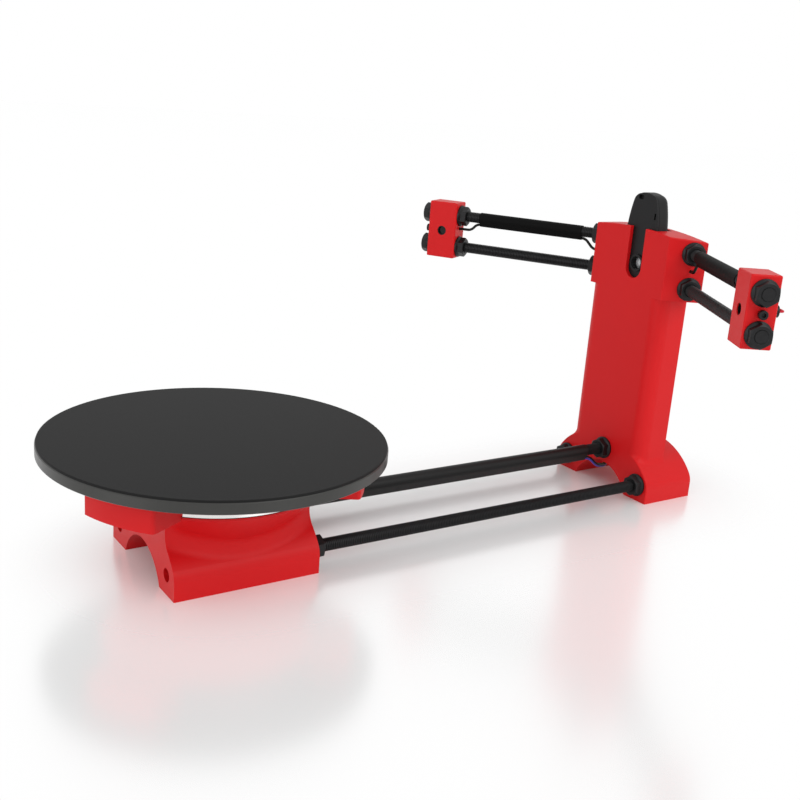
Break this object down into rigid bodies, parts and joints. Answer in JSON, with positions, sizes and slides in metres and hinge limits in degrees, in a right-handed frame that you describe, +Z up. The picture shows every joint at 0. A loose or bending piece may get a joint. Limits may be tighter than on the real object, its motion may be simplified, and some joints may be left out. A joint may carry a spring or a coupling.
{
  "type": "desktop 3d scanner",
  "caption": "Laser-line desktop scanner: motor-driven turntable joined by threaded rods to a tower with a camera and two swept laser arms.",
  "frame": {"origin": "on the floor, at the middle of the bounding box, half way between the turntable's outer edge and the back of the tower's foot", "axes": "+X from the turntable to the tower, +Z up, Y = 0 is the plane of symmetry of the frame"},
  "size_m": [0.4595, 0.3422, 0.2172],
  "materials": {
    "bearing_steel": "polished",
    "black_plastic": "satin",
    "black_steel": "satin",
    "blue_wire": "satin",
    "brass": "satin",
    "circuit_board": "satin",
    "disc_plastic": "satin",
    "green_wire": "satin",
    "laser_housing": "satin",
    "lens_glass": "polished",
    "motor_aluminium": "satin",
    "motor_steel": "matte",
    "red_plastic": "satin",
    "red_wire": "satin",
    "rubber_cord": "satin",
    "rubber_mat": "matte",
    "socket_steel": "satin",
    "white_nylon": "matte",
    "zinc_steel": "satin"
  },
  "bodies": {
    "stand": {"arm_nuts": "black_steel", "base_body": "red_plastic", "bearing_inner_race": "bearing_steel", "board_connectors": "white_nylon", "board_screws": "zinc_steel", "board_standoffs": "brass", "camera_board": "circuit_board", "camera_front_shell": "black_plastic", "camera_gland": "rubber_cord", "camera_lens": "lens_glass", "camera_lens_ring": "black_plastic", "camera_rear_shell": "black_plastic", "controller_board": "circuit_board", "controller_chip": "black_plastic", "driver_board": "circuit_board", "frame_nuts": "black_steel", "head_inner_nuts": "black_steel", "laser_clamp_screws": "black_steel", "laser_leads": "red_wire", "left_arm_rods": "black_steel", "left_cable_sleeve": "rubber_cord", "left_laser_cable": "rubber_cord", "left_laser_holder": "red_plastic", "middle_rod": "black_steel", "middle_sleeve": "rubber_cord", "motor_front_cap": "motor_aluminium", "motor_mount_screws": "zinc_steel", "motor_rear_cap": "motor_aluminium", "motor_socket": "white_nylon", "motor_stator": "motor_steel", "motor_wire_black": "rubber_cord", "motor_wire_blue": "blue_wire", "motor_wire_green": "green_wire", "motor_wire_red": "red_wire", "power_jack": "black_plastic", "power_switch_case": "socket_steel", "reset_button_case": "socket_steel", "right_arm_rods": "black_steel", "right_cable_sleeve": "rubber_cord", "right_laser_cable": "rubber_cord", "right_laser_holder": "red_plastic", "side_rods": "black_steel", "tower_body": "red_plastic", "usb_port": "socket_steel"},
    "turntable": {"table_carrier": "red_plastic", "turntable_disc": "disc_plastic", "turntable_mat": "rubber_mat", "disc_screws": "black_steel", "bearing_outer_race": "bearing_steel", "motor_shaft": "bearing_steel", "motor_rotor": "motor_steel", "hub_grub_screw": "black_steel"},
    "ball_ring": {"bearing_balls": "bearing_steel", "bearing_cage": "brass"},
    "left_laser": {"left_laser_module": "laser_housing", "left_laser_lens": "lens_glass"},
    "right_laser": {"right_laser_module": "laser_housing", "right_laser_lens": "lens_glass"},
    "reset_key": {"reset_button": "black_plastic"},
    "power_lever": {"power_switch_lever": "black_plastic"}
  },
  "joints": [
    {"name": "turntable_spin", "type": "hinge", "parent": "stand", "child": "turntable", "pos_m": [-0.12975, 0, 0.0583], "axis": [0, 0, 1], "continuous": true},
    {"name": "ball_ring_spin", "type": "hinge", "parent": "stand", "child": "ball_ring", "pos_m": [-0.12975, 0, 0.0583], "axis": [0, 0, 1], "continuous": true},
    {"name": "left_laser_roll", "type": "hinge", "parent": "stand", "child": "left_laser", "pos_m": [0.1334, 0.1526, 0.1682], "axis": [-0.8536, -0.521, 0], "range_deg": [-90, 90]},
    {"name": "right_laser_roll", "type": "hinge", "parent": "stand", "child": "right_laser", "pos_m": [0.1334, -0.1526, 0.1682], "axis": [-0.8536, 0.521, 0], "range_deg": [-90, 90]},
    {"name": "reset_press", "type": "slide", "parent": "stand", "child": "reset_key", "axis": [-1, 0, 0], "range_m": [0, 0.0004], "stiffness_N_per_m": 1500, "springref_m": -0.0004},
    {"name": "power_slide", "type": "slide", "parent": "stand", "child": "power_lever", "axis": [0, 0, 1], "range_m": [0, 0.004]}
  ],
  "couplings": [
    {"joint": "ball_ring_spin", "follows": "turntable_spin", "ratio": 0.5387}
  ]
}
